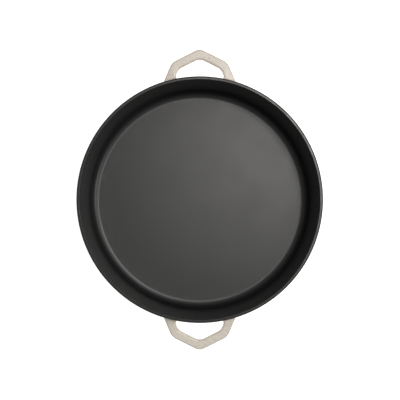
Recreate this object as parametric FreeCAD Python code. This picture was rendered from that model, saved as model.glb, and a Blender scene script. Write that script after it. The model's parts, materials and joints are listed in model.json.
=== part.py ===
"""Enamelled cast-iron dutch oven: a round, straight-sided pot with two hexagonal loop handles.

The pot is one iron casting, coated all over with fired enamel.  Here the casting is divided into the
pot and its two handle loops, and the enamel is divided by colour and place, so that each layer is a
solid of its own:

    pot_casting            floor, wall, rim and four short handle lugs, in grey iron
    rear_handle_casting    loop that meets the two lugs at +Y
    front_handle_casting   loop that meets the two lugs at -Y
    interior_enamel        matt black lining of the floor and wall
    rim_enamel             dark band over the rim, where a lid sits
    exterior_enamel        speckled cream coat of the wall, the bottom corner and the lugs
    rear_handle_enamel     cream coat of the rear loop
    front_handle_enamel    cream coat of the front loop
    foot_ring_enamel       dark ground coat of the ring that the pot stands on
    underside_enamel       cream coat of the recess inside that ring

Frame: millimetres, +Z up, origin at the centre of the foot ring, on the surface that the pot stands on.
The handles lie along +Y and -Y.
"""

import FreeCAD
import Part

import math
import os

# --- Pot: finished sizes, measured over the enamel ------------------------------------------------
RIM_DIAMETER = 300.0          # outside the rim, before its outer edge is rounded
POT_HEIGHT = 120.0            # from the foot ring to the rim
RIM_WIDTH = 4.0               # across the rim, from the mouth to the outside
RIM_OUTER_RADIUS = 1.8        # round-over of the rim's outer edge
RIM_INNER_RADIUS = 0.5        # soft edge of the mouth
REGISTER_DEPTH = 6.0          # straight band of the mouth that centres a lid
OUTER_DRAFT = 1.7             # degrees that the outside of the wall leans in towards the base
INNER_DRAFT = 2.2             # degrees for the inside, so the wall thickens towards the floor
FLOOR_THICKNESS = 5.5         # from the foot ring's plane to the cooking surface
FLOOR_FILLET = 10.5           # between the cooking surface and the wall
BASE_CORNER_RADIUS = 16.0     # outside, between the wall and the base
FOOT_RING_WIDTH = 8.0         # flat ring inside the base corner
RECESS_DEPTH = 0.8            # of the underside inside the foot ring
RECESS_EDGE_RADIUS = 0.3

# --- Enamel ---------------------------------------------------------------------------------------
COAT = 0.4                    # thickness of the fired enamel everywhere
RIM_BAND = 2.5                # how far the dark rim coat reaches down the wall

# --- Handles: finished sizes, seen from above ------------------------------------------------------
HANDLE_REACH = 34.4           # of the loop's tip beyond the rim
HANDLE_DROP = 16.0            # from the rim down to the top of the bar
BAR_THICKNESS = 10.0          # of the bar, up and down
BAR_WIDTH = 11.0              # of the bar across the two roof sides
BAR_EDGE_RADIUS = 2.2         # soft edges of the bar
ROOF_ANGLE = 26.5             # degrees that the two roof sides fall away from the tip
TIP_RADIUS = 11.5             # outside of the tip
INNER_TIP_RADIUS = 11.0
SHOULDER_HALF_SPAN = 34.4     # from the middle to the outer shoulder corner, before rounding
SHOULDER_RADIUS = 14.0
LEG_WIDTH = 6.6               # between the outer and the inner shoulder corners, across the handle
INNER_SHOULDER_RADIUS = 12.0
LEG_SPLAY = 23.0              # degrees that the outside of each leg opens towards the wall
INNER_LEG_SPLAY = 10.0
ROOT_FILLET = 4.0             # between the bar and the wall
LUG_CLEARANCE = 2.0           # from the rim out to the plane where the loop meets its lugs

# --- Derived places ---------------------------------------------------------------------------------
RIM_RADIUS = RIM_DIAMETER / 2
MOUTH_RADIUS = RIM_RADIUS - RIM_WIDTH
BAR_TOP = POT_HEIGHT - HANDLE_DROP
BAR_BOTTOM = BAR_TOP - BAR_THICKNESS
LUG_PLANE = RIM_RADIUS + LUG_CLEARANCE
RIM_BAND_PLANE = POT_HEIGHT - RIM_BAND

SECTION_ARCS = 3              # arcs in each rounding of the section: narrow ring faces mesh evenly
MARGIN = 10.0                 # how far cutting shapes run past what they cut
TOUCH = 1e-3                  # two points nearer than this are the same point


def vec(x, y, z=0.0):
    return FreeCAD.Vector(x, y, z)


def rounding_points(corner, to_previous, to_next, radius, arcs):
    """Points along the circle that rounds a corner: the ends and the middles of a number of arcs."""
    if radius == 0:
        return [corner]
    half_angle = to_previous.getAngle(to_next) / 2
    tangent = radius / math.tan(half_angle)
    centre = corner + (to_previous + to_next).normalize() * (radius / math.sin(half_angle))
    first = corner + to_previous * tangent - centre
    last = corner + to_next * tangent - centre
    axis = first.cross(last)
    step = math.degrees(math.pi - 2 * half_angle) / (2 * arcs)
    return [centre + FreeCAD.Rotation(axis, k * step).multVec(first) for k in range(2 * arcs + 1)]


def rounded_wire(corners, arcs):
    """A closed wire through (point, radius) corners, each one rounded by a number of tangent arcs."""
    count = len(corners)
    roundings = []
    for i, (corner, radius) in enumerate(corners):
        to_previous = (corners[i - 1][0] - corner).normalize()
        to_next = (corners[(i + 1) % count][0] - corner).normalize()
        roundings.append(rounding_points(corner, to_previous, to_next, radius, arcs))
    edges = []
    for i, points in enumerate(roundings):
        for start, middle, end in zip(points[:-2:2], points[1:-1:2], points[2::2]):
            edges.append(Part.Arc(start, middle, end).toShape())
        following = roundings[(i + 1) % count][0]
        if (following - points[-1]).Length > TOUCH:
            edges.append(Part.LineSegment(points[-1], following).toShape())
    return Part.Wire(edges)


def turned_round(shape):
    """A copy turned half a turn about Z."""
    copy = shape.copy()
    copy.rotate(vec(0, 0, 0), vec(0, 0, 1), 180)
    return copy


def section_face(corners):
    """A face in the XZ plane from ((radius, height), rounding) corners."""
    points = [(vec(r, 0, z), rounding) for (r, z), rounding in corners]
    return Part.Face(rounded_wire(points, SECTION_ARCS))


def section_box(inner, outer, bottom, top):
    """A rectangle in the XZ plane, between two radii and two heights."""
    corners = [(inner, bottom), (outer, bottom), (outer, top), (inner, top)]
    return section_face([(corner, 0) for corner in corners])


def revolve(section):
    """The solid that a section in the XZ plane sweeps about Z, in two halves that are joined.

    What lies past the axis is cut away.  Two half turns mesh more evenly than one full turn.
    """
    box = section.BoundBox
    half_plane = section_box(0, box.XMax + MARGIN, box.ZMin - MARGIN, box.ZMax + MARGIN)
    half_section = section.common(half_plane).Faces[0]
    half_turn = half_section.revolve(vec(0, 0, 0), vec(0, 0, 1), 180)
    return half_turn.fuse(turned_round(half_turn))


def outer_wall_radius(z):
    return RIM_RADIUS - (POT_HEIGHT - z) * math.tan(math.radians(OUTER_DRAFT))


def inner_wall_radius(z):
    lean = (POT_HEIGHT - REGISTER_DEPTH - z) * math.tan(math.radians(INNER_DRAFT))
    return MOUTH_RADIUS - lean


def base_corner_start():
    """Radius at which the flat foot ring turns up into the base corner."""
    return outer_wall_radius(0) - BASE_CORNER_RADIUS * math.tan(math.radians((90 - OUTER_DRAFT) / 2))


FOOT_OUTER_RADIUS = base_corner_start()
FOOT_INNER_RADIUS = FOOT_OUTER_RADIUS - FOOT_RING_WIDTH


def outside_corners():
    """Section corners of the outer side, from one margin past the axis under the pot up to the rim."""
    return [
        ((-MARGIN, RECESS_DEPTH), 0),
        ((FOOT_INNER_RADIUS - RECESS_DEPTH, RECESS_DEPTH), RECESS_EDGE_RADIUS),
        ((FOOT_INNER_RADIUS, 0), RECESS_EDGE_RADIUS),
        ((outer_wall_radius(0), 0), BASE_CORNER_RADIUS),
        ((RIM_RADIUS, POT_HEIGHT), RIM_OUTER_RADIUS),
    ]


def inside_corners():
    """Section corners of the inner side, from the mouth down and along the floor past the axis."""
    return [
        ((MOUTH_RADIUS, POT_HEIGHT), RIM_INNER_RADIUS),
        ((MOUTH_RADIUS, POT_HEIGHT - REGISTER_DEPTH), 0),
        ((inner_wall_radius(FLOOR_THICKNESS), FLOOR_THICKNESS), FLOOR_FILLET),
        ((-MARGIN, FLOOR_THICKNESS), 0),
    ]


def pot_section():
    """Half of the finished pot, cut through its axis."""
    return section_face(outside_corners() + inside_corners())


def filled_section():
    """The same half with the pot's hollow filled level with the rim."""
    return section_face(outside_corners() + [((-MARGIN, POT_HEIGHT), 0)])


def handle_plan():
    """Outline of one loop from above, at +Y, with its legs running on into the pot."""
    fall = math.tan(math.radians(ROOF_ANGLE))
    slant = 1 / math.cos(math.radians(ROOF_ANGLE))
    tip_corner = RIM_RADIUS + HANDLE_REACH + TIP_RADIUS * (slant - 1)
    inner_tip_corner = tip_corner - BAR_WIDTH * slant
    shoulder = vec(SHOULDER_HALF_SPAN, tip_corner - SHOULDER_HALF_SPAN * fall)
    inner_span = SHOULDER_HALF_SPAN - LEG_WIDTH
    inner_shoulder = vec(inner_span, inner_tip_corner - inner_span * fall)
    buried = RIM_RADIUS - 2 * MARGIN

    def leg_end(start, splay):
        return vec(start.x + (start.y - buried) * math.tan(math.radians(splay)), buried)

    right = [
        (shoulder, SHOULDER_RADIUS),
        (leg_end(shoulder, LEG_SPLAY), 0),
        (leg_end(inner_shoulder, INNER_LEG_SPLAY), 0),
        (inner_shoulder, INNER_SHOULDER_RADIUS),
    ]
    left = [(vec(-point.x, point.y), radius) for point, radius in reversed(right)]
    tip = [(vec(0, tip_corner), TIP_RADIUS)]
    inner_tip = [(vec(0, inner_tip_corner), INNER_TIP_RADIUS)]
    return Part.Face(rounded_wire(tip + right + inner_tip + left, 1))


def handle_bar(inset):
    """The bar of the rear loop, smaller all round by an inset, with soft upper and lower edges."""
    plan = handle_plan()
    if inset:
        plan = plan.makeOffset2D(-inset)
    plan.translate(vec(0, 0, BAR_BOTTOM + inset))
    bar = plan.extrude(vec(0, 0, BAR_THICKNESS - 2 * inset))
    buried = bar.BoundBox.YMin + TOUCH
    flat_edges = [edge for edge in bar.Edges
                  if edge.BoundBox.ZLength < TOUCH and edge.BoundBox.YMax > buried]
    return bar.makeFillet(BAR_EDGE_RADIUS - inset, flat_edges)


def with_handles(pot, inset):
    """A filled pot with both bars grown out of its wall, blended at their roots."""
    rear = handle_bar(inset)
    joined = pot.fuse([rear, turned_round(rear)])
    roots = [edge for edge in joined.Edges if is_root_edge(edge, inset)]
    return joined.makeFillet(ROOT_FILLET + inset, roots)


def is_root_edge(edge, inset):
    """True for an edge where a bar meets the wall."""
    box = edge.BoundBox
    if box.ZMin < BAR_BOTTOM - TOUCH or box.ZMax > BAR_TOP + TOUCH:
        return False
    middle = edge.valueAt((edge.FirstParameter + edge.LastParameter) / 2)
    wall = outer_wall_radius(middle.z) - inset / math.cos(math.radians(OUTER_DRAFT))
    return abs(math.hypot(middle.x, middle.y) - wall) < 10 * TOUCH


def rear_space():
    """All the space behind the rear lug plane."""
    reach = HANDLE_REACH + MARGIN
    return Part.makeBox(RIM_DIAMETER, reach, POT_HEIGHT, vec(-RIM_RADIUS, LUG_PLANE, 0))


def disc(radius, bottom, top):
    return Part.makeCylinder(radius, top - bottom, vec(0, 0, bottom))


def build_nodes():
    """Every sub-part by name."""
    finished_section = pot_section()
    finished_block = filled_section()
    iron_section = finished_section.makeOffset2D(-COAT)
    iron_block = finished_block.makeOffset2D(-COAT)
    finished = with_handles(revolve(finished_block), 0)
    iron = with_handles(revolve(iron_block), COAT)
    finished_hollow = revolve(finished_block.cut(finished_section))
    iron_hollow = revolve(iron_block.cut(iron_section))

    casting = iron.cut(iron_hollow)
    skin = finished.cut(iron)
    below_band = disc(RIM_DIAMETER, -MARGIN, RIM_BAND_PLANE)
    band = disc(RIM_DIAMETER, RIM_BAND_PLANE, POT_HEIGHT + MARGIN)
    rear = rear_space()
    front = turned_round(rear)
    under_foot = FLOOR_THICKNESS / 2
    foot_region = disc(FOOT_OUTER_RADIUS, -MARGIN, under_foot)
    recess_region = disc(FOOT_INNER_RADIUS, -MARGIN, under_foot)

    return {
        "pot_casting": casting.cut([rear, front]),
        "rear_handle_casting": casting.common(rear),
        "front_handle_casting": casting.common(front),
        "interior_enamel": iron_hollow.cut(finished_hollow).common(below_band),
        "rim_enamel": finished.cut([casting, finished_hollow]).common(band),
        "exterior_enamel": skin.common(below_band).cut([rear, front, foot_region]),
        "rear_handle_enamel": skin.common(rear),
        "front_handle_enamel": skin.common(front),
        "foot_ring_enamel": skin.common(foot_region.cut(recess_region)),
        "underside_enamel": skin.common(recess_region),
    }


def main():
    os.makedirs("parts", exist_ok=True)
    for name, shape in build_nodes().items():
        if not shape.Solids or not shape.isValid():
            raise ValueError(f"{name} isn't a valid solid")
        Part.makeCompound(shape.Solids).exportStep(f"parts/{name}.step")


main()
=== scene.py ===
"""Looks of an enamelled cast-iron dutch oven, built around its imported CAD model.

The pot is one grey-iron casting with two loop handles, and every side of it is enamelled:

    cooking_surface        matt black lining of the floor and wall
    rim_band               charcoal band over the rim
    outer_coat             speckled cream coat of the wall, the bottom corner and the handle lugs
    rear_handle_coat       speckled cream coat of the loop at +Y
    front_handle_coat      speckled cream coat of the loop at -Y
    foot_ring              dark ground coat of the ring that the pot stands on
    underside_coat         speckled cream coat of the recess inside that ring

The three iron castings under these skins stay as the CAD made them.

Units are metres, +Z is up, and the origin is the centre of the foot ring.
"""

import json
import logging
import math
from dataclasses import dataclass
from enum import Enum
from typing import Any, Iterable, Mapping, Sequence, Union

import bmesh
import bpy
from mathutils import Matrix, Vector

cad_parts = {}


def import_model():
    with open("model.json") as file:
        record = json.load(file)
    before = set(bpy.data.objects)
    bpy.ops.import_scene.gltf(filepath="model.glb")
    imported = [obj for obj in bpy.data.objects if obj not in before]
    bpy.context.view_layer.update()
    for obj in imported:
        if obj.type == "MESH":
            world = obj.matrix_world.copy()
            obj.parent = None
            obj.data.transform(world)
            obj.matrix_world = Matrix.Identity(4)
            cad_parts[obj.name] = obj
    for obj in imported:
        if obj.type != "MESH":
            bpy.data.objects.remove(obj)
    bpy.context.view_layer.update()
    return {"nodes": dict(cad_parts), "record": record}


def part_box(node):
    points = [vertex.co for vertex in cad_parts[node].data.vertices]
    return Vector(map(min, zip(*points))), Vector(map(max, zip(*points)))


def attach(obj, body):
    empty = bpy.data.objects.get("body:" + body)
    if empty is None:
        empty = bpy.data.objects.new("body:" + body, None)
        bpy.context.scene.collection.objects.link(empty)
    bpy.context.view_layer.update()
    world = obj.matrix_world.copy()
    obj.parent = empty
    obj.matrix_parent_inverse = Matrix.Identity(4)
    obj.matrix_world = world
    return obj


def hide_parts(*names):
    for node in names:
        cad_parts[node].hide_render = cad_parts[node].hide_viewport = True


LOG = logging.getLogger("dutch_oven")
BODY = "root"

MILLIMETRE = 0.001
TURN_STEPS = 256               # faces around the pot
SAME_PLACE = 1e-6              # points nearer than this are one point
SHARP_ANGLE = math.radians(40)  # edges sharper than this stay sharp when shaded
GENTLE_BEND = 7 * MILLIMETRE   # radius of an outward bend that only just thins the enamel
TIGHT_BEND = 2.4 * MILLIMETRE  # radius of one that thins it most
FAR_AWAY = 10                  # pot heights to a place that every face of an outer skin faces
THIN_GLAZE = "thin_glaze"      # how far a tight edge has thinned the enamel, from 0 to 1
WARM_WHITE = (1.0, 0.985, 0.96)

Colour = tuple[float, float, float, float]
Number = Union[float, "Value"]


# --- Shader maths ---------------------------------------------------------------------------------


class Value:
    """One output of a shader node, with arithmetic that adds Math nodes."""

    def __init__(self, tree: "ShaderTree", socket: bpy.types.NodeSocket) -> None:
        """Wraps a socket of a tree.

        Args:
            tree: the shader tree that the socket belongs to.
            socket: the output socket.
        """
        self.tree = tree
        self.socket = socket

    def maths(self, operation: str, *operands: Number) -> "Value":
        """A Math node on some operands.

        Args:
            operation: the Math node's operation.
            operands: numbers or values, in the node's order.

        Returns:
            The node's output.
        """
        node = self.tree.node("ShaderNodeMath", {"operation": operation}, dict(enumerate(operands)))
        return Value(self.tree, node.outputs[0])

    def __add__(self, other: Number) -> "Value":
        """self + other."""
        return self.maths("ADD", self, other)

    def __radd__(self, other: Number) -> "Value":
        """other + self."""
        return self.maths("ADD", other, self)

    def __sub__(self, other: Number) -> "Value":
        """self - other."""
        return self.maths("SUBTRACT", self, other)

    def __rsub__(self, other: Number) -> "Value":
        """other - self."""
        return self.maths("SUBTRACT", other, self)

    def __mul__(self, other: Number) -> "Value":
        """self * other."""
        return self.maths("MULTIPLY", self, other)

    def __rmul__(self, other: Number) -> "Value":
        """other * self."""
        return self.maths("MULTIPLY", other, self)


class ShaderTree:
    """Builds the node tree of one material."""

    def __init__(self, name: str) -> None:
        """Starts an empty material.

        Args:
            name: the material's name.
        """
        self.material = bpy.data.materials.new(name)
        self.material.use_nodes = True
        self.tree = self.material.node_tree
        self.tree.nodes.clear()
        coordinates = self.node("ShaderNodeTexCoord")
        self.place = Value(self, coordinates.outputs["Object"])

    def node(
        self,
        kind: str,
        settings: Mapping[str, Any] | None = None,
        inputs: Mapping[str | int, Any] | None = None,
    ) -> bpy.types.Node:
        """Adds a node, with its settings first and its sockets after them.

        Args:
            kind: the node's type.
            settings: the node's own properties.
            inputs: numbers, colours or values by socket name or index.

        Returns:
            The new node.
        """
        node = self.tree.nodes.new(kind)
        for name, setting in (settings or {}).items():
            setattr(node, name, setting)
        for key, given in (inputs or {}).items():
            if isinstance(given, Value):
                self.tree.links.new(given.socket, node.inputs[key])
            else:
                node.inputs[key].default_value = given
        return node

    def noise(self, size: float, detail: float = 2.0, roughness: float = 0.5) -> Value:
        """Cloudy noise in the object's space.

        Args:
            size: width of its clouds, in metres.
            detail: finer layers added to it.
            roughness: strength of those layers.

        Returns:
            A value around 0.5.
        """
        inputs = {"Vector": self.place, "Scale": 1 / size, "Detail": detail, "Roughness": roughness}
        node = self.node("ShaderNodeTexNoise", {"noise_dimensions": "3D"}, inputs)
        return Value(self, node.outputs[0])

    def cells(self, size: float) -> tuple[Value, Value]:
        """Scattered points, one in each cell of a jumbled lattice.

        Args:
            size: width of a cell, in metres.

        Returns:
            The distance to the nearest point, in cells, and a random number for each cell.
        """
        inputs = {"Vector": self.place, "Scale": 1 / size, "Randomness": 1.0}
        settings = {"voronoi_dimensions": "3D", "feature": "F1"}
        node = self.node("ShaderNodeTexVoronoi", settings, inputs)
        split = self.node("ShaderNodeSeparateColor", {}, {0: Value(self, node.outputs["Color"])})
        return Value(self, node.outputs["Distance"]), Value(self, split.outputs[0])

    def ease(self, value: Value, low: Number, high: Number) -> Value:
        """A smooth step from 0 at one value to 1 at another.

        Args:
            value: what is measured.
            low: where the step starts.
            high: where it ends.

        Returns:
            A value from 0 to 1.
        """
        inputs = {"Value": value, "From Min": low, "From Max": high}
        node = self.node("ShaderNodeMapRange", {"interpolation_type": "SMOOTHSTEP"}, inputs)
        return Value(self, node.outputs[0])

    def blend(self, amount: Number, under: Colour | Value, over: Colour | Value) -> Value:
        """One colour laid over another.

        Args:
            amount: how much of the upper colour shows.
            under: the lower colour.
            over: the upper colour.

        Returns:
            The mixed colour.
        """
        node = self.node("ShaderNodeMix", {"data_type": "RGBA"}, {0: amount, 6: under, 7: over})
        return Value(self, node.outputs[2])

    def attribute(self, name: str) -> Value:
        """A number that the piece's mesh carries, or 0 where it carries none."""
        node = self.node("ShaderNodeAttribute", {"attribute_name": name})
        return Value(self, node.outputs["Fac"])

    def bump(self, height: Value, depth: float) -> Value:
        """A normal that is tilted by a height.

        Args:
            height: the height, where 1 stands for the whole depth.
            depth: that depth, in metres.

        Returns:
            The tilted normal.
        """
        node = self.node("ShaderNodeBump", {}, {"Height": height, "Distance": depth, "Strength": 1.0})
        return Value(self, node.outputs["Normal"])

    def principled(self, inputs: Mapping[str, Any]) -> Value:
        """A Principled shader.

        Args:
            inputs: its sockets by name.

        Returns:
            The shader's output.
        """
        return Value(self, self.node("ShaderNodeBsdfPrincipled", {}, inputs).outputs["BSDF"])

    def finish(self, surface: Value) -> bpy.types.Material:
        """Ends the tree in a shader.

        Args:
            surface: the shader that the surface shows.

        Returns:
            The material.
        """
        self.node("ShaderNodeOutputMaterial", {}, {"Surface": surface})
        return self.material


# --- Finishes -------------------------------------------------------------------------------------


def grey(level: float, warmth: float = 0.0) -> Colour:
    """A linear grey.

    Args:
        level: its brightness.
        warmth: how much red it gains and blue it loses, as a share of the level.

    Returns:
        The colour.
    """
    return (level * (1 + warmth), level, level * (1 - warmth), 1.0)


@dataclass(frozen=True)
class Speckle:
    """One size of speck that is scattered through an enamel."""

    cell: float       # distance between places where a speck may lie
    radius: float     # of the largest specks
    share: float      # of the places that hold a speck
    strength: float   # of its colour
    colour: Colour
    firm: float = 0.8    # share of the specks that have their full strength
    core: float = 0.55   # share of a speck's radius inside its soft edge

    def mask(self, shader: ShaderTree) -> Value:
        """Where the specks are.

        Args:
            shader: the tree that uses them.

        Returns:
            The strength of the specks at each place.
        """
        distance, chance = shader.cells(self.cell)
        present = shader.ease(chance, 1 - self.share, 1 - self.firm * self.share)
        reach = self.radius / self.cell
        body = 1 - shader.ease(distance, self.core * reach, reach)
        return self.strength * (present * body)


@dataclass(frozen=True)
class CreamEnamel:
    """Oat-coloured enamel with dark specks, which thins to a brown line on tight edges."""

    name: str = "speckled_cream_enamel"
    light: Colour = (0.712, 0.655, 0.568, 1.0)
    deep: Colour = (0.668, 0.608, 0.524, 1.0)
    thin: Colour = (0.330, 0.265, 0.200, 1.0)
    thinning: float = 0.18
    specks: tuple[Speckle, ...] = (
        Speckle(1.2 * MILLIMETRE, 0.46 * MILLIMETRE, 0.75, 0.50, (0.340, 0.275, 0.230, 1.0)),
        Speckle(1.8 * MILLIMETRE, 0.62 * MILLIMETRE, 0.70, 0.50, (0.230, 0.180, 0.150, 1.0)),
        Speckle(6.5 * MILLIMETRE, 0.80 * MILLIMETRE, 0.50, 0.85, (0.085, 0.068, 0.060, 1.0)),
    )
    cloud_size: float = 38 * MILLIMETRE
    dust_size: float = 0.9 * MILLIMETRE
    peel_size: float = 3.2 * MILLIMETRE
    sag_size: float = 26 * MILLIMETRE
    relief: float = 0.10 * MILLIMETRE

    def material(self) -> bpy.types.Material:
        """The enamel as a material.

        Returns:
            The material.
        """
        shader = ShaderTree(self.name)
        cloud = shader.noise(self.cloud_size, detail=3.0)
        dust = shader.noise(self.dust_size, detail=2.0, roughness=0.7)
        colour = shader.blend(shader.ease(cloud, 0.35, 0.68), self.light, self.deep)
        colour = shader.blend(0.5 * shader.ease(dust, 0.50, 0.75), colour, self.deep)
        for speckle in self.specks:
            colour = shader.blend(speckle.mask(shader), colour, speckle.colour)
        edge = shader.attribute(THIN_GLAZE) * (0.55 + 0.9 * cloud)
        colour = shader.blend(self.thinning * edge, colour, self.thin)
        peel = shader.noise(self.peel_size, detail=1.0)
        sag = shader.noise(self.sag_size, detail=1.0)
        height = 0.35 * peel + 1.0 * sag + 0.02 * dust
        return shader.finish(shader.principled({
            "Base Color": colour,
            "Roughness": 0.30 + 0.10 * dust,
            "Specular IOR Level": 0.5,
            "Coat Weight": 0.35,
            "Coat Roughness": 0.12,
            "Normal": shader.bump(height, self.relief),
        }))


@dataclass(frozen=True)
class BlackEnamel:
    """Matt black cooking enamel with a fine pebbled grain."""

    name: str = "matt_black_enamel"
    dark: Colour = grey(0.0110)
    worn: Colour = grey(0.0190)
    roughness: float = 0.36
    cloud_size: float = 45 * MILLIMETRE
    grain_size: float = 1.1 * MILLIMETRE
    pebble_size: float = 2.6 * MILLIMETRE
    relief: float = 0.05 * MILLIMETRE

    def material(self) -> bpy.types.Material:
        """The enamel as a material.

        Returns:
            The material.
        """
        shader = ShaderTree(self.name)
        cloud = shader.noise(self.cloud_size, detail=3.0)
        grain = shader.noise(self.grain_size, detail=3.0, roughness=0.65)
        pebble = shader.noise(self.pebble_size, detail=1.0)
        colour = shader.blend(shader.ease(grain, 0.35, 0.75), self.dark, self.worn)
        return shader.finish(shader.principled({
            "Base Color": colour,
            "Roughness": self.roughness - 0.05 + 0.06 * cloud + 0.08 * grain,
            "Specular IOR Level": 0.5,
            "Normal": shader.bump(0.6 * grain + 0.4 * pebble, self.relief),
        }))


@dataclass(frozen=True)
class RimEnamel:
    """Charcoal enamel of the rim, rubbed a little smoother and paler where a lid sits."""

    name: str = "charcoal_rim_enamel"
    dark: Colour = grey(0.009, 0.05)
    rubbed: Colour = grey(0.018, 0.08)
    roughness: float = 0.31
    shine: float = 0.40
    grain_size: float = 0.8 * MILLIMETRE
    patch_size: float = 14 * MILLIMETRE
    relief: float = 0.03 * MILLIMETRE

    def material(self) -> bpy.types.Material:
        """The enamel as a material.

        Returns:
            The material.
        """
        shader = ShaderTree(self.name)
        grain = shader.noise(self.grain_size, detail=3.0, roughness=0.6)
        patch = shader.noise(self.patch_size, detail=2.0)
        rub = shader.ease(patch, 0.35, 0.70)
        colour = shader.blend(rub * (0.5 + 0.5 * grain), self.dark, self.rubbed)
        return shader.finish(shader.principled({
            "Base Color": colour,
            "Roughness": self.roughness - 0.06 * rub + 0.08 * grain,
            "Specular IOR Level": self.shine,
            "Normal": shader.bump(grain, self.relief),
        }))


@dataclass(frozen=True)
class GroundCoat:
    """Dull dark ground coat of the foot ring, scuffed grey where it stands on a hob."""

    name: str = "scuffed_ground_coat"
    dark: Colour = grey(0.022, 0.03)
    scuffed: Colour = grey(0.110, 0.04)
    grain_size: float = 1.0 * MILLIMETRE
    patch_size: float = 11 * MILLIMETRE
    relief: float = 0.06 * MILLIMETRE

    def material(self) -> bpy.types.Material:
        """The coat as a material.

        Returns:
            The material.
        """
        shader = ShaderTree(self.name)
        grain = shader.noise(self.grain_size, detail=3.0, roughness=0.7)
        patch = shader.noise(self.patch_size, detail=4.0, roughness=0.7)
        scuff = shader.ease(patch, 0.50, 0.66) * shader.ease(grain, 0.42, 0.62)
        return shader.finish(shader.principled({
            "Base Color": shader.blend(0.7 * scuff, self.dark, self.scuffed),
            "Roughness": 0.62 - 0.16 * scuff,
            "Normal": shader.bump(grain - 0.3 * scuff, self.relief),
        }))


@dataclass(frozen=True)
class GreyIron:
    """Bare grey iron as it comes from a sand mould."""

    name: str = "sand_cast_grey_iron"
    dark: Colour = grey(0.085)
    light: Colour = grey(0.150, 0.02)
    sand_size: float = 0.9 * MILLIMETRE
    patch_size: float = 18 * MILLIMETRE
    relief: float = 0.15 * MILLIMETRE

    def material(self) -> bpy.types.Material:
        """The iron as a material.

        Returns:
            The material.
        """
        shader = ShaderTree(self.name)
        sand = shader.noise(self.sand_size, detail=4.0, roughness=0.7)
        patch = shader.noise(self.patch_size, detail=3.0)
        shade = shader.ease(0.5 * sand + 0.5 * patch, 0.35, 0.65)
        colour = shader.blend(shade, self.dark, self.light)
        return shader.finish(shader.principled({
            "Base Color": colour,
            "Metallic": 0.75,
            "Roughness": 0.55 + 0.20 * sand,
            "Normal": shader.bump(sand, self.relief),
        }))


@dataclass(frozen=True)
class PaleFloor:
    """Matt white studio floor that glows, so that shadows stay faint, and is clear from below."""

    name: str = "pale_studio_floor"
    pale: Colour = grey(0.90)
    paler: Colour = grey(0.93)
    glow: float = 0.75
    cloud_size: float = 0.4

    def material(self) -> bpy.types.Material:
        """The floor as a material.

        Returns:
            The material.
        """
        shader = ShaderTree(self.name)
        cloud = shader.noise(self.cloud_size, detail=2.0)
        matt = shader.principled({
            "Base Color": shader.blend(cloud, self.pale, self.paler),
            "Roughness": 0.9,
            "Specular IOR Level": 0.1,
            "Emission Color": grey(1.0),
            "Emission Strength": self.glow,
        })
        clear = Value(shader, shader.node("ShaderNodeBsdfTransparent").outputs[0])
        below = Value(shader, shader.node("ShaderNodeNewGeometry").outputs["Backfacing"])
        mixed = shader.node("ShaderNodeMixShader", {}, {0: below, 1: matt, 2: clear})
        return shader.finish(Value(shader, mixed.outputs[0]))


# --- Mesh work ------------------------------------------------------------------------------------


def tangent_length(before: Vector, corner: Vector, after: Vector, radius: float) -> float:
    """How far from a corner a rounding of some radius starts.

    Args:
        before: the point before the corner.
        corner: the corner.
        after: the point after it.
        radius: the rounding's radius.

    Returns:
        The length of each side that the rounding takes.
    """
    return radius / math.tan((before - corner).angle(after - corner) / 2)


def curvature(edge: bmesh.types.BMEdge) -> float:
    """How tightly a mesh bends outwards over an edge.

    Args:
        edge: the edge.

    Returns:
        One over the bend's radius in metres, or 0 for an edge that doesn't bend outwards.
    """
    if len(edge.link_faces) != 2:
        return 0.0
    first, second = (face.calc_center_median() for face in edge.link_faces)
    along = (edge.verts[1].co - edge.verts[0].co).normalized()
    step = second - first
    across = (step - step.dot(along) * along).length
    return max(edge.calc_face_angle_signed(0.0), 0.0) / max(across, SAME_PLACE)


def mark_thin_glaze(shape: bmesh.types.BMesh) -> None:
    """Stores on each point how much its tight outward bend thins the enamel.

    Args:
        shape: the mesh, changed in place.
    """
    starts, ends = 1 / GENTLE_BEND, 1 / TIGHT_BEND
    layer = shape.verts.layers.float.new(THIN_GLAZE)
    for point in shape.verts:
        bend = max((curvature(edge) for edge in point.link_edges), default=0.0)
        share = min(max((bend - starts) / (ends - starts), 0.0), 1.0)
        point[layer] = share * share * (3 - 2 * share)


def new_piece(name: str, shape: bmesh.types.BMesh, material: bpy.types.Material) -> bpy.types.Object:
    """Makes a smooth-shaded object from a mesh.

    Args:
        name: the object's name.
        shape: its mesh, which is freed.
        material: its finish.

    Returns:
        The object, linked to the scene.
    """
    mesh = bpy.data.meshes.new(name)
    for face in shape.faces:
        face.smooth = True
    shape.to_mesh(mesh)
    shape.free()
    mesh.set_sharp_from_angle(angle=SHARP_ANGLE)
    mesh.materials.append(material)
    piece = bpy.data.objects.new(name, mesh)
    bpy.context.scene.collection.objects.link(piece)
    weighting = piece.modifiers.new("even_shading", "WEIGHTED_NORMAL")
    weighting.mode = "FACE_AREA"
    weighting.keep_sharp = True
    return piece


def place_piece(piece: bpy.types.Object, slot: str, *nodes: str) -> None:
    """Hangs a piece on the body that it rides on, hides the CAD nodes that it replaces, and reports it.

    Args:
        piece: the finished object.
        slot: the record's material slot; not used.
        nodes: the CAD nodes that it replaces.
    """
    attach(piece, BODY)
    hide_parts(*nodes)
    LOG.info("%s: %d faces, for %s", piece.name, len(piece.data.polygons), ", ".join(nodes))


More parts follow.
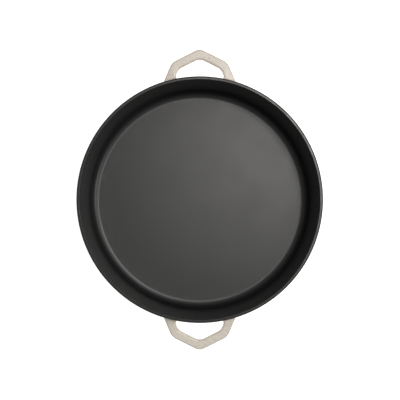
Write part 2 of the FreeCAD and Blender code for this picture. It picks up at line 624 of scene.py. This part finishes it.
@dataclass(frozen=True)
class RingCorner:
    """A corner of a turned section: its place, its rounding, and the faces across that rounding."""

    radius: float
    height: float
    rounding: float = 0.0
    faces: int = 0

    @property
    def place(self) -> Vector:
        """The corner in the XZ plane."""
        return Vector((self.radius, 0.0, self.height))

    def holds(self, edge: bmesh.types.BMEdge) -> bool:
        """Tells whether an edge belongs to the ring that this corner is turned into.

        Args:
            edge: an edge of the turned mesh.

        Returns:
            True if both of its ends lie on the ring.
        """
        return all(
            abs(point.co.xy.length - self.radius) < SAME_PLACE
            and abs(point.co.z - self.height) < SAME_PLACE
            for point in edge.verts
        )


def straight_run(start: RingCorner, end: RingCorner, parts: int) -> list[RingCorner]:
    """Plain ring corners that divide the straight line between two corners.

    Args:
        start: the corner before them.
        end: the corner after them.
        parts: how many parts the line is divided into.

    Returns:
        The corners between, without the two ends.
    """
    places = [start.place.lerp(end.place, k / parts) for k in range(1, parts)]
    return [RingCorner(place.x, place.z) for place in places]


def turned_skin(corners: Sequence[RingCorner], coat: float, seen_from: Vector) -> bmesh.types.BMesh:
    """Turns a section about the pot's axis and gives it the thickness of its coat.

    Args:
        corners: the seen side of the section, from one end to the other.
        coat: thickness of the coat, which lies behind the seen side.
        seen_from: a place that the seen side faces.

    Returns:
        A closed mesh.
    """
    shape = bmesh.new()
    points = [shape.verts.new(corner.place) for corner in corners]
    lines = [shape.edges.new(pair) for pair in zip(points, points[1:])]
    bmesh.ops.spin(
        shape, geom=points + lines, cent=(0, 0, 0), axis=(0, 0, 1), angle=math.tau,
        steps=TURN_STEPS, use_merge=True,
    )
    bmesh.ops.remove_doubles(shape, verts=shape.verts[:], dist=SAME_PLACE)
    bmesh.ops.recalc_face_normals(shape, faces=shape.faces[:])
    facing = sum(
        face.calc_area() * face.normal.dot((seen_from - face.calc_center_median()).normalized())
        for face in shape.faces
    )
    if facing < 0:
        bmesh.ops.reverse_faces(shape, faces=shape.faces[:])
    for before, corner, after in zip(corners, corners[1:], corners[2:]):
        if corner.rounding:
            length = tangent_length(before.place, corner.place, after.place, corner.rounding)
            ring = [edge for edge in shape.edges if corner.holds(edge)]
            round_edges(shape, ring, length, corner.faces)
    bmesh.ops.solidify(shape, geom=shape.faces[:], thickness=coat)
    return shape


def round_edges(
    shape: bmesh.types.BMesh, edges: Iterable[bmesh.types.BMEdge], length: float, faces: int,
) -> None:
    """Rounds edges of a mesh.

    Args:
        shape: the mesh, changed in place.
        edges: its edges to round.
        length: how much of each side the rounding takes.
        faces: how many faces lie across it.
    """
    bmesh.ops.bevel(
        shape, geom=list(edges), offset=length, offset_type="OFFSET", segments=faces,
        profile=0.5, affect="EDGES", material=-1, clamp_overlap=False,
    )


# --- The pot --------------------------------------------------------------------------------------


@dataclass(frozen=True)
class PotForm:
    """Sizes that the pot's skins share, in metres."""

    height: float            # of the rim
    band_plane: float        # lower edge of the rim's band
    mouth_radius: float
    wall_radius: float       # of the outside of the wall, run on up to the rim's height
    floor_top: float         # the cooking surface
    foot_outer: float
    foot_inner: float
    recess_depth: float      # of the underside, inside the foot ring
    coat: float              # thickness of the enamel
    outer_draft: float = math.radians(1.7)   # lean of the outside of the wall
    inner_draft: float = math.radians(2.2)   # lean of the inside

    @classmethod
    def from_frame(cls, record: Mapping[str, Any]) -> "PotForm":
        """Reads the pot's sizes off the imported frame.

        Args:
            record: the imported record.

        Returns:
            The pot's form.
        """
        register = next(mount for mount in record["mounts"] if mount["name"] == "lid_register")
        mouth_radius = register["dims"]["r_mm"] * MILLIMETRE
        lining_low, lining_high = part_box("interior_enamel")
        rim_low, rim_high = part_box("rim_enamel")
        wall_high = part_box("exterior_enamel")[1]
        coat = lining_high.x - mouth_radius
        return cls(
            height=rim_high.z,
            band_plane=rim_low.z,
            mouth_radius=mouth_radius,
            wall_radius=wall_high.x + (rim_high.z - rim_low.z) * math.tan(cls.outer_draft),
            floor_top=lining_low.z + coat,
            foot_outer=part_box("foot_ring_enamel")[1].x,
            foot_inner=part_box("underside_enamel")[1].x,
            recess_depth=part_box("underside_enamel")[1].z - coat,
            coat=coat,
        )

    def outside(self, height: float) -> float:
        """Radius of the outside of the wall at a height."""
        return self.wall_radius - (self.height - height) * math.tan(self.outer_draft)


@dataclass
class CookingSurface:
    """The matt black lining of the floor and the wall."""

    form: PotForm
    register_depth: float = 6 * MILLIMETRE    # straight band of the mouth that centres a lid
    floor_fillet: float = 10.5 * MILLIMETRE
    fillet_faces: int = 20
    clear_of_rings: float = 1.05    # fillet radii beside the corner that no ring of the floor enters
    floor_rings: int = 8

    def section(self) -> list[RingCorner]:
        """The seen side, from the middle of the floor up to the rim's band.

        Returns:
            The corners of the section, in order.
        """
        form = self.form
        register = RingCorner(form.mouth_radius, form.height - self.register_depth)
        lean = (register.height - form.floor_top) * math.tan(form.inner_draft)
        middle = RingCorner(0.0, form.floor_top)
        corner = RingCorner(form.mouth_radius - lean, form.floor_top, self.floor_fillet, self.fillet_faces)
        fillet_end = RingCorner(corner.radius - self.clear_of_rings * self.floor_fillet, form.floor_top)
        floor = straight_run(middle, fillet_end, self.floor_rings) + [fillet_end]
        return [middle, *floor, corner, register, RingCorner(form.mouth_radius, form.band_plane)]

    def build(self) -> bmesh.types.BMesh:
        """The lining as a closed mesh."""
        hollow = Vector((0.0, 0.0, self.form.height / 2))
        return turned_skin(self.section(), self.form.coat, hollow)

    def dress(self, material: bpy.types.Material) -> None:
        """Makes the finished piece.

        Args:
            material: the black enamel.
        """
        piece = new_piece("cooking_surface", self.build(), material)
        place_piece(piece, "black_enamel", "interior_enamel")


@dataclass
class RimBand:
    """The charcoal band over the rim, with a soft mouth and a rounded outer edge."""

    form: PotForm
    inner_rounding: float = 0.5 * MILLIMETRE
    outer_rounding: float = 1.8 * MILLIMETRE
    inner_faces: int = 5
    outer_faces: int = 12

    def build(self) -> bmesh.types.BMesh:
        """The band as a closed mesh.

        Returns:
            The mesh.
        """
        form = self.form
        corners = [
            RingCorner(form.mouth_radius, form.band_plane),
            RingCorner(form.mouth_radius, form.height, self.inner_rounding, self.inner_faces),
            RingCorner(form.wall_radius, form.height, self.outer_rounding, self.outer_faces),
            RingCorner(form.outside(form.band_plane), form.band_plane),
        ]
        high_above = Vector((0.0, 0.0, FAR_AWAY * form.height))
        return turned_skin(corners, form.coat, high_above)

    def dress(self, material: bpy.types.Material) -> None:
        """Makes the finished piece.

        Args:
            material: the rim's enamel.
        """
        piece = new_piece("rim_band", self.build(), material)
        place_piece(piece, "rim_enamel", "rim_enamel")


@dataclass
class Foot:
    """The ring that the pot stands on, and the shallow recess inside it."""

    form: PotForm
    edge_rounding: float = 0.3 * MILLIMETRE
    edge_faces: int = 3
    recess_rings: int = 8

    def seen_from_below(self) -> Vector:
        """A place that both of its skins face."""
        return Vector((0.0, 0.0, -FAR_AWAY * self.form.height))

    def ring(self) -> bmesh.types.BMesh:
        """The standing ring as a closed mesh.

        Returns:
            The mesh.
        """
        form = self.form
        corners = [RingCorner(form.foot_outer, 0.0), RingCorner(form.foot_inner, 0.0)]
        return turned_skin(corners, form.coat, self.seen_from_below())

    def recess(self) -> bmesh.types.BMesh:
        """The recess as a closed mesh.

        Returns:
            The mesh.
        """
        form = self.form
        slope_end = form.foot_inner - form.recess_depth
        edge = RingCorner(slope_end, form.recess_depth, self.edge_rounding, self.edge_faces)
        middle = RingCorner(0.0, form.recess_depth)
        start = RingCorner(slope_end - 2 * self.edge_rounding, form.recess_depth)
        flat = straight_run(start, middle, self.recess_rings)
        corners = [RingCorner(form.foot_inner, 0.0), edge, *flat, middle]
        return turned_skin(corners, form.coat, self.seen_from_below())

    def dress(self, ground: bpy.types.Material, cream: bpy.types.Material) -> None:
        """Makes the finished pieces.

        Args:
            ground: the ground coat of the ring.
            cream: the cream enamel of the recess.
        """
        ring = new_piece("foot_ring", self.ring(), ground)
        recess = new_piece("underside_coat", self.recess(), cream)
        place_piece(ring, "ground_enamel", "foot_ring_enamel")
        place_piece(recess, "cream_enamel", "underside_enamel")


@dataclass
class OuterCoat:
    """The cream coat of the wall, the bottom corner and the four handle lugs."""

    node: bpy.types.Object

    def build(self) -> bmesh.types.BMesh:
        """The CAD coat as one joined mesh.

        Returns:
            The mesh.
        """
        shape = bmesh.new()
        shape.from_mesh(self.node.data)
        bmesh.ops.remove_doubles(shape, verts=shape.verts[:], dist=SAME_PLACE)
        mark_thin_glaze(shape)
        return shape

    def dress(self, material: bpy.types.Material) -> None:
        """Makes the finished piece.

        Args:
            material: the cream enamel.
        """
        piece = new_piece("outer_coat", self.build(), material)
        place_piece(piece, "cream_enamel", "exterior_enamel")


class HandleSide(Enum):
    """The two ends of the pot that have a loop, each with its turn about the pot's axis."""

    REAR = 0.0
    FRONT = math.pi

    @property
    def node(self) -> str:
        """Name of the CAD coat on this side."""
        return f"{self.name.lower()}_handle_enamel"

    @property
    def piece(self) -> str:
        """Name of the finished coat on this side."""
        return f"{self.name.lower()}_handle_coat"


@dataclass(frozen=True)
class PlanCorner:
    """A corner of a handle's outline from above, with its rounding."""

    x: float
    y: float
    rounding: float = 0.0


@dataclass
class LoopHandle:
    """The cream coat of one hexagonal loop, from its lugs out to the tip."""

    form: PotForm
    side: HandleSide
    bar_width: float = 11 * MILLIMETRE
    edge_rounding: float = 2.2 * MILLIMETRE
    roof_angle: float = math.radians(26.5)       # that the two roof sides fall away from the tip
    tip_rounding: float = 11.5 * MILLIMETRE
    inner_tip_rounding: float = 11 * MILLIMETRE
    shoulder_span: float = 34.4 * MILLIMETRE     # from the middle to the outer shoulder corner
    shoulder_rounding: float = 14 * MILLIMETRE
    leg_width: float = 6.6 * MILLIMETRE          # between outer and inner shoulder corners
    inner_shoulder_rounding: float = 12 * MILLIMETRE
    leg_splay: float = math.radians(23)          # that the outside of each leg opens to the wall
    inner_leg_splay: float = math.radians(10)
    corner_faces: int = 12
    edge_faces: int = 6

    def outline(
        self, tip: PlanCorner, shoulder: PlanCorner, splay: float, lug_plane: float,
    ) -> list[PlanCorner]:
        """One side of the bar from leg end to leg end.

        Args:
            tip: the corner in the middle.
            shoulder: the corner at +X.
            splay: how far the leg opens, in radians.
            lug_plane: where the leg ends.

        Returns:
            Five corners, from -X to +X.
        """
        end = shoulder.x + (shoulder.y - lug_plane) * math.tan(splay)
        right = [shoulder, PlanCorner(end, lug_plane)]
        left = [PlanCorner(-corner.x, corner.y, corner.rounding) for corner in reversed(right)]
        return [*left, tip, *right]

    def plan(self, reach: float, lug_plane: float) -> tuple[list[PlanCorner], list[PlanCorner]]:
        """The outside and the inside of the bar from above.

        Args:
            reach: how far the tip lies from the pot's axis.
            lug_plane: where the legs end.

        Returns:
            The outer and the inner outline.
        """
        fall, slant = math.tan(self.roof_angle), 1 / math.cos(self.roof_angle)
        tip = reach + self.tip_rounding * (slant - 1)
        inner_tip_y = tip - self.bar_width * slant
        inner_span = self.shoulder_span - self.leg_width
        shoulder = PlanCorner(self.shoulder_span, tip - self.shoulder_span * fall, self.shoulder_rounding)
        inner_shoulder_y = inner_tip_y - inner_span * fall
        inner_shoulder = PlanCorner(inner_span, inner_shoulder_y, self.inner_shoulder_rounding)
        outer_tip = PlanCorner(0.0, tip, self.tip_rounding)
        outer = self.outline(outer_tip, shoulder, self.leg_splay, lug_plane)
        inner_tip = PlanCorner(0.0, inner_tip_y, self.inner_tip_rounding)
        inner = self.outline(inner_tip, inner_shoulder, self.inner_leg_splay, lug_plane)
        return outer, inner

    def rounded_line(self, shape: bmesh.types.BMesh, corners: Sequence[PlanCorner], height: float) -> None:
        """Adds an outline to a mesh, with its corners rounded.

        Args:
            shape: the mesh, changed in place.
            corners: the outline.
            height: its height.
        """
        points = [shape.verts.new((corner.x, corner.y, height)) for corner in corners]
        for pair in zip(points, points[1:]):
            shape.edges.new(pair)
        places = [point.co.copy() for point in points]
        for k, corner in enumerate(corners):
            if corner.rounding:
                length = tangent_length(places[k - 1], places[k], places[k + 1], corner.rounding)
                bmesh.ops.bevel(
                    shape, geom=[points[k]], offset=length, offset_type="OFFSET",
                    segments=self.corner_faces, profile=0.5, affect="VERTICES", material=-1,
                )

    def build(self) -> bmesh.types.BMesh:
        """The coat of the loop as a closed mesh.

        Returns:
            The mesh.
        """
        low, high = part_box(HandleSide.REAR.node)
        shape = bmesh.new()
        for corners in self.plan(high.y, low.y):
            self.rounded_line(shape, corners, low.z)
        bmesh.ops.bridge_loops(shape, edges=shape.edges[:])
        raised = bmesh.ops.extrude_face_region(shape, geom=shape.faces[:])["geom"]
        lifted = [item for item in raised if isinstance(item, bmesh.types.BMVert)]
        bmesh.ops.translate(shape, verts=lifted, vec=(0.0, 0.0, high.z - low.z))
        bmesh.ops.recalc_face_normals(shape, faces=shape.faces[:])
        round_edges(shape, self.long_edges(shape, low.y), self.edge_rounding, self.edge_faces)
        ends = [face for face in shape.faces if abs(face.calc_center_median().y - low.y) < SAME_PLACE]
        bmesh.ops.delete(shape, geom=ends, context="FACES")
        bmesh.ops.solidify(shape, geom=shape.faces[:], thickness=self.form.coat)
        for point in shape.verts:
            if point.co.y < low.y + self.form.coat / 2:
                point.co.y = low.y
        mark_thin_glaze(shape)
        bmesh.ops.rotate(
            shape, verts=shape.verts[:], cent=(0, 0, 0), matrix=Matrix.Rotation(self.side.value, 3, "Z")
        )
        return shape

    def long_edges(self, shape: bmesh.types.BMesh, lug_plane: float) -> list[bmesh.types.BMEdge]:
        """The edges that run along the bar's four corners.

        Args:
            shape: the square-edged bar.
            lug_plane: where its legs end.

        Returns:
            Its corner edges, without those of its two end faces.
        """
        return [
            edge for edge in shape.edges
            if edge.calc_face_angle(0.0) > SHARP_ANGLE
            and abs(edge.verts[0].co.z - edge.verts[1].co.z) < SAME_PLACE
            and max(point.co.y for point in edge.verts) > lug_plane + SAME_PLACE
        ]

    def dress(self, material: bpy.types.Material) -> None:
        """Makes the finished piece.

        Args:
            material: the cream enamel.
        """
        piece = new_piece(self.side.piece, self.build(), material)
        place_piece(piece, "cream_enamel", self.side.node)


@dataclass
class Castings:
    """The iron under the enamel, as the CAD made it."""

    nodes: Mapping[str, bpy.types.Object]
    names: tuple[str, ...] = ("pot_casting", "rear_handle_casting", "front_handle_casting")

    def dress(self, material: bpy.types.Material) -> None:
        """Gives each casting its finish.

        Args:
            material: the grey iron.
        """
        for name in self.names:
            for slot in self.nodes[name].material_slots:
                slot.material = material
            LOG.info("%s: kept, in %s", name, material.name)


# --- The studio -----------------------------------------------------------------------------------


@dataclass(frozen=True)
class SoftBox:
    """A large square lamp that points at the pot."""

    name: str
    place: tuple[float, float, float]
    size: float
    power: float
    colour: tuple[float, float, float] = (1.0, 1.0, 1.0)


@dataclass
class Studio:
    """A pale floor, soft light and a camera straight above the pot."""

    target: Vector
    camera_place: tuple[float, float, float] = (0.00031, -0.00044, 1.54)
    lens: float = 105.35
    sensor: float = 36.0
    floor_size: float = 12.0
    floor_gap: float = 0.2 * MILLIMETRE    # under the foot ring, so that the two never share a plane
    floor_shift: float = 1.0               # sideways, so that no edge inside the floor lies under the pot
    sky: float = 0.33
    lamps: tuple[SoftBox, ...] = (
        SoftBox("overhead_softbox", (0.30, 0.22, 2.00), 0.30, 12.0, WARM_WHITE),
        SoftBox("corner_softbox", (0.75, 0.75, 1.60), 0.80, 4.0, WARM_WHITE),
        SoftBox("side_softbox", (1.45, -0.10, 1.25), 0.60, 7.5),
    )

    def build_floor(self, material: bpy.types.Material) -> None:
        """The floor, which isn't part of the object.

        Args:
            material: its finish.
        """
        shape = bmesh.new()
        bmesh.ops.create_grid(shape, x_segments=1, y_segments=1, size=self.floor_size / 2)
        bmesh.ops.translate(shape, verts=shape.verts[:], vec=(self.floor_shift, 0.0, -self.floor_gap))
        mesh = bpy.data.meshes.new("studio_floor")
        shape.to_mesh(mesh)
        shape.free()
        mesh.materials.append(material)
        floor = bpy.data.objects.new("studio_floor", mesh)
        bpy.context.scene.collection.objects.link(floor)

    def build_camera(self) -> None:
        """The camera, looking straight down with +Y up the picture."""
        data = bpy.data.cameras.new("overhead_camera")
        data.lens = self.lens
        data.sensor_width = self.sensor
        camera = bpy.data.objects.new("overhead_camera", data)
        camera.location = self.camera_place
        bpy.context.scene.collection.objects.link(camera)
        bpy.context.scene.camera = camera

    def build_lamps(self) -> None:
        """The soft boxes, each turned towards the pot."""
        for lamp in self.lamps:
            data = bpy.data.lights.new(lamp.name, "AREA")
            data.size = lamp.size
            data.energy = lamp.power
            data.color = lamp.colour
            light = bpy.data.objects.new(lamp.name, data)
            light.location = lamp.place
            towards = self.target - Vector(lamp.place)
            light.rotation_euler = towards.to_track_quat("-Z", "Y").to_euler()
            bpy.context.scene.collection.objects.link(light)

    def build_sky(self) -> None:
        """Even white light from all round, shown without a film look."""
        scene = bpy.context.scene
        scene.world = bpy.data.worlds.new("white_room")
        scene.world.use_nodes = True
        background = scene.world.node_tree.nodes["Background"]
        background.inputs["Color"].default_value = grey(1.0)
        background.inputs["Strength"].default_value = self.sky
        scene.view_settings.view_transform = "Standard"

    def build(self, floor: bpy.types.Material) -> None:
        """Builds the whole studio.

        Args:
            floor: the floor's finish.
        """
        self.build_floor(floor)
        self.build_camera()
        self.build_lamps()
        self.build_sky()


def main() -> None:
    """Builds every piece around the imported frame."""
    logging.basicConfig(level=logging.INFO, format="%(message)s")
    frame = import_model()
    form = PotForm.from_frame(frame["record"])
    cream = CreamEnamel().material()

    Castings(frame["nodes"]).dress(GreyIron().material())
    CookingSurface(form).dress(BlackEnamel().material())
    RimBand(form).dress(RimEnamel().material())
    OuterCoat(frame["nodes"]["exterior_enamel"]).dress(cream)
    for side in HandleSide:
        LoopHandle(form, side).dress(cream)
    Foot(form).dress(GroundCoat().material(), cream)
    Studio(Vector((0.0, 0.0, form.height / 2))).build(PaleFloor().material())


if __name__ == "__main__":
    main()
